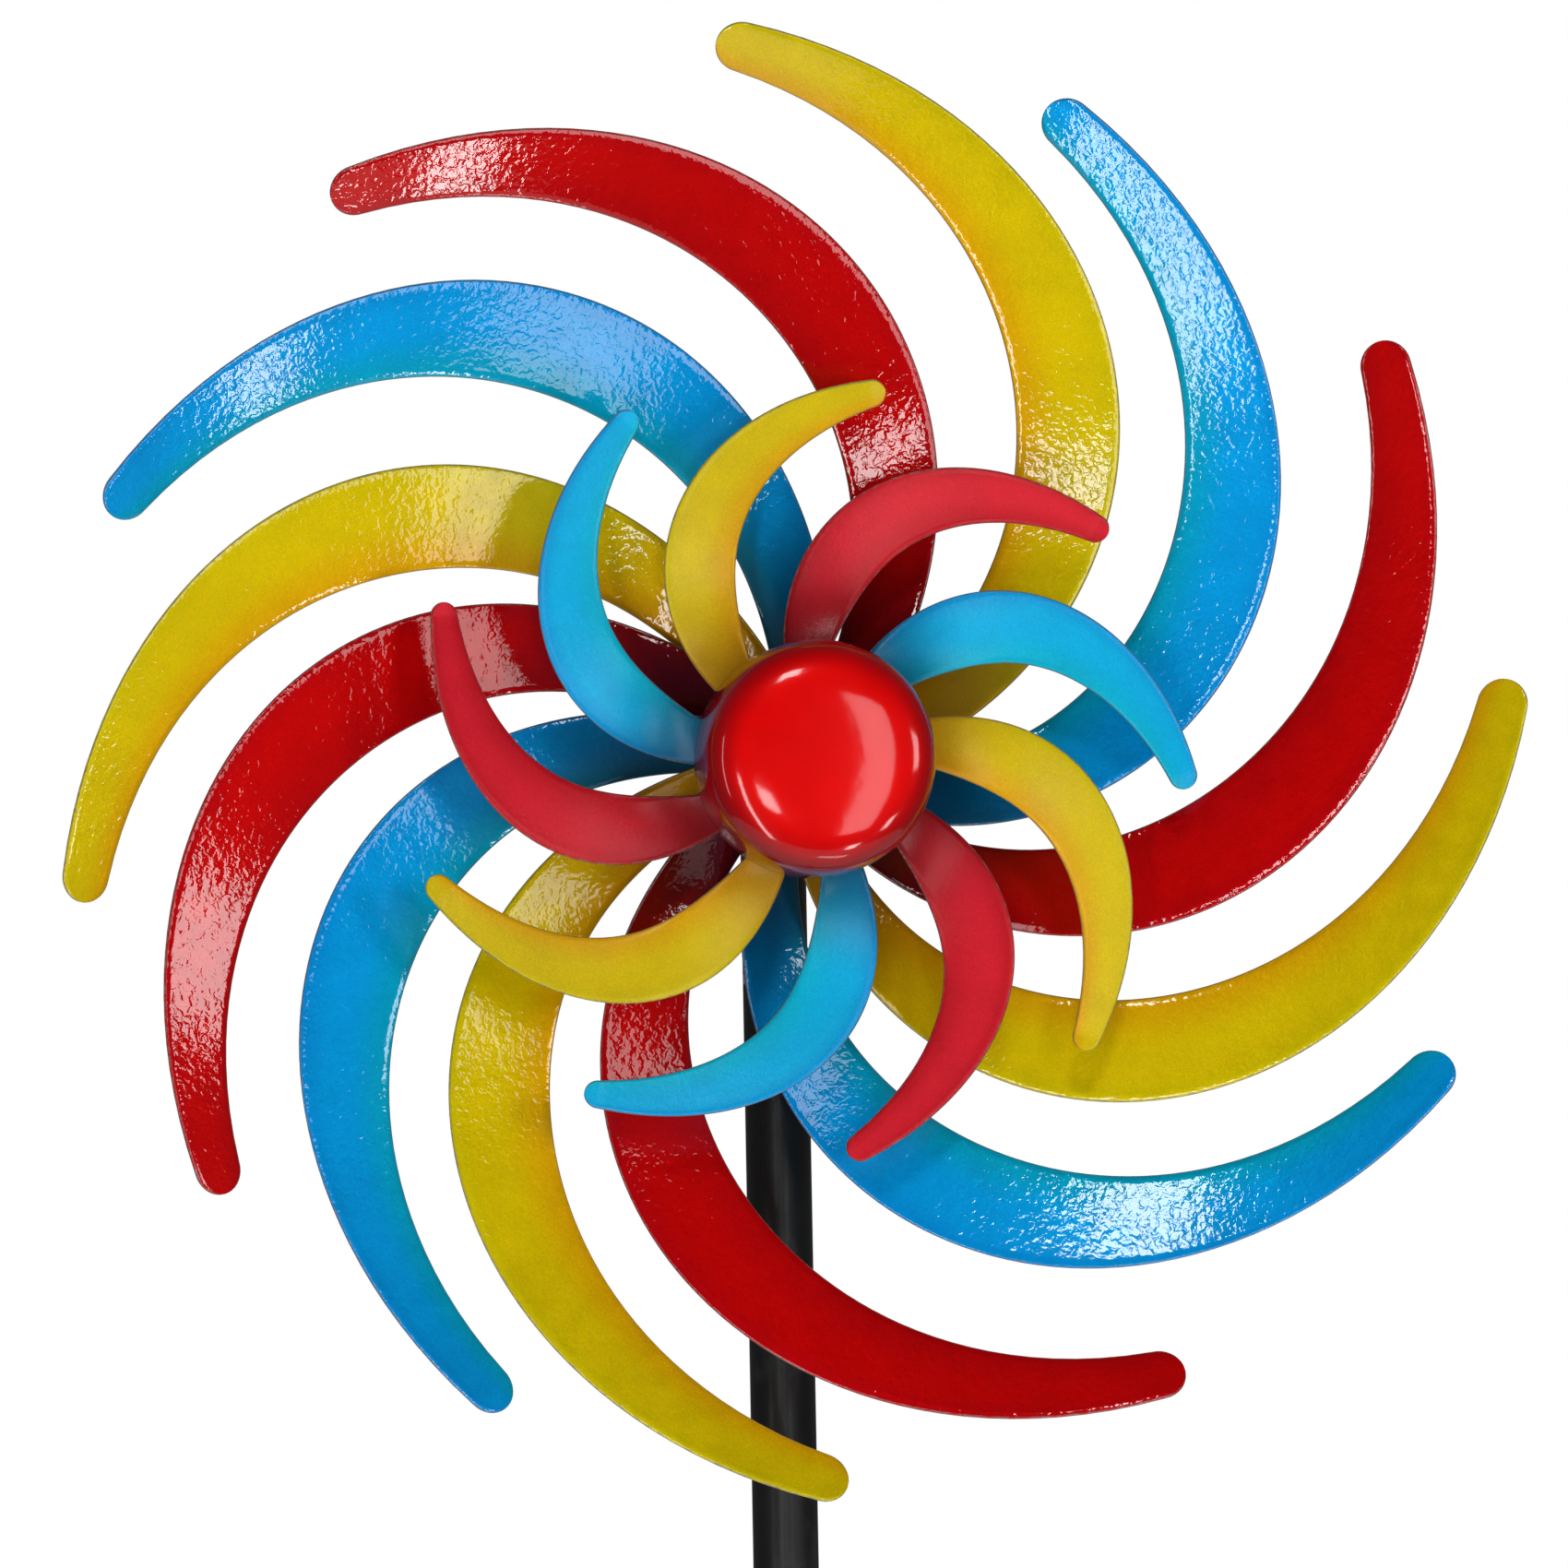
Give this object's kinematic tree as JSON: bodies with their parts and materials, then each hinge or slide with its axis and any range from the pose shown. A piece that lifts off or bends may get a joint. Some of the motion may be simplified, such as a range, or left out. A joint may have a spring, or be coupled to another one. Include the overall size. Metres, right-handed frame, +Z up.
{
  "type": "kinetic wind sculpture",
  "caption": "Garden wind sculpture: two rotors of curved enamelled blades that spin opposite ways on a swivelling head, on a jointed pole with a ground fork.",
  "frame": {"origin": "on the pole's axis at the soil line, where the ground fork's prongs enter the ground", "axes": "+Z up the pole, the rotors face -Y, +X to the right seen from the front"},
  "size_m": [0.4234, 0.131, 1.4026],
  "materials": {
    "red_enamel": "hammered gloss enamel",
    "blue_enamel": "hammered gloss enamel shaded to green",
    "yellow_enamel": "hammered gloss enamel shaded to orange",
    "cap_enamel": "smooth gloss enamel",
    "hub_enamel": "black satin enamel",
    "black_enamel": "black satin enamel",
    "zinc_steel": "zinc plated",
    "bearing_steel": "ground steel",
    "black_nylon": "moulded nylon"
  },
  "bodies": {
    "stake": {"ground_fork_socket": "black_enamel", "ground_fork_yoke": "black_enamel", "fork_clamp_screw": "zinc_steel", "lower_pole": "black_enamel", "middle_pole": "black_enamel", "upper_pole": "black_enamel", "lower_coupler": "zinc_steel", "upper_coupler": "zinc_steel", "coupler_rivets": "zinc_steel", "pivot_plug": "zinc_steel", "pivot_clip": "bearing_steel"},
    "head": {"swivel_post": "black_enamel", "lower_swivel_bush": "black_nylon", "upper_swivel_bush": "black_nylon", "post_end_cap": "black_nylon", "axle": "zinc_steel", "front_saddle_washer": "zinc_steel", "rear_saddle_washer": "zinc_steel", "axle_acorn_nut": "zinc_steel", "axle_jam_nut": "zinc_steel", "rear_spacer": "zinc_steel", "hub_spacer": "zinc_steel", "bearing_spacers": "zinc_steel", "front_washer": "zinc_steel", "axle_lock_nut": "zinc_steel", "rear_bearing_inner_rings": "bearing_steel", "front_bearing_inner_rings": "bearing_steel"},
    "rear_rotor": {"rear_hub": "hub_enamel", "rear_bearing_outer_rings": "bearing_steel", "rear_bearing_balls": "bearing_steel", "rear_bearing_shields": "bearing_steel", "rear_blade_01": "red_enamel", "rear_blade_02": "blue_enamel", "rear_blade_03": "yellow_enamel", "rear_blade_04": "red_enamel", "rear_blade_05": "blue_enamel", "rear_blade_06": "yellow_enamel", "rear_blade_07": "red_enamel", "rear_blade_08": "blue_enamel", "rear_blade_09": "yellow_enamel", "rear_blade_10": "red_enamel", "rear_blade_11": "blue_enamel", "rear_blade_12": "yellow_enamel"},
    "front_rotor": {"front_hub": "hub_enamel", "front_bearing_outer_rings": "bearing_steel", "front_bearing_balls": "bearing_steel", "front_bearing_shields": "bearing_steel", "hub_cap": "cap_enamel", "cap_plate": "zinc_steel", "cap_screws": "zinc_steel", "front_blade_01": "red_enamel", "front_blade_02": "yellow_enamel", "front_blade_03": "blue_enamel", "front_blade_04": "red_enamel", "front_blade_05": "yellow_enamel", "front_blade_06": "blue_enamel", "front_blade_07": "red_enamel", "front_blade_08": "yellow_enamel", "front_blade_09": "blue_enamel"}
  },
  "joints": [
    {"name": "head_swivel", "type": "hinge", "parent": "stake", "child": "head", "pos_m": [0, 0, 0.942], "axis": [0, 0, 1], "continuous": true},
    {"name": "rear_spin", "type": "hinge", "parent": "head", "child": "rear_rotor", "pos_m": [0, -0.042, 1], "axis": [0, 1, 0], "continuous": true},
    {"name": "front_spin", "type": "hinge", "parent": "head", "child": "front_rotor", "pos_m": [0, -0.066, 1], "axis": [0, 1, 0], "continuous": true}
  ]
}
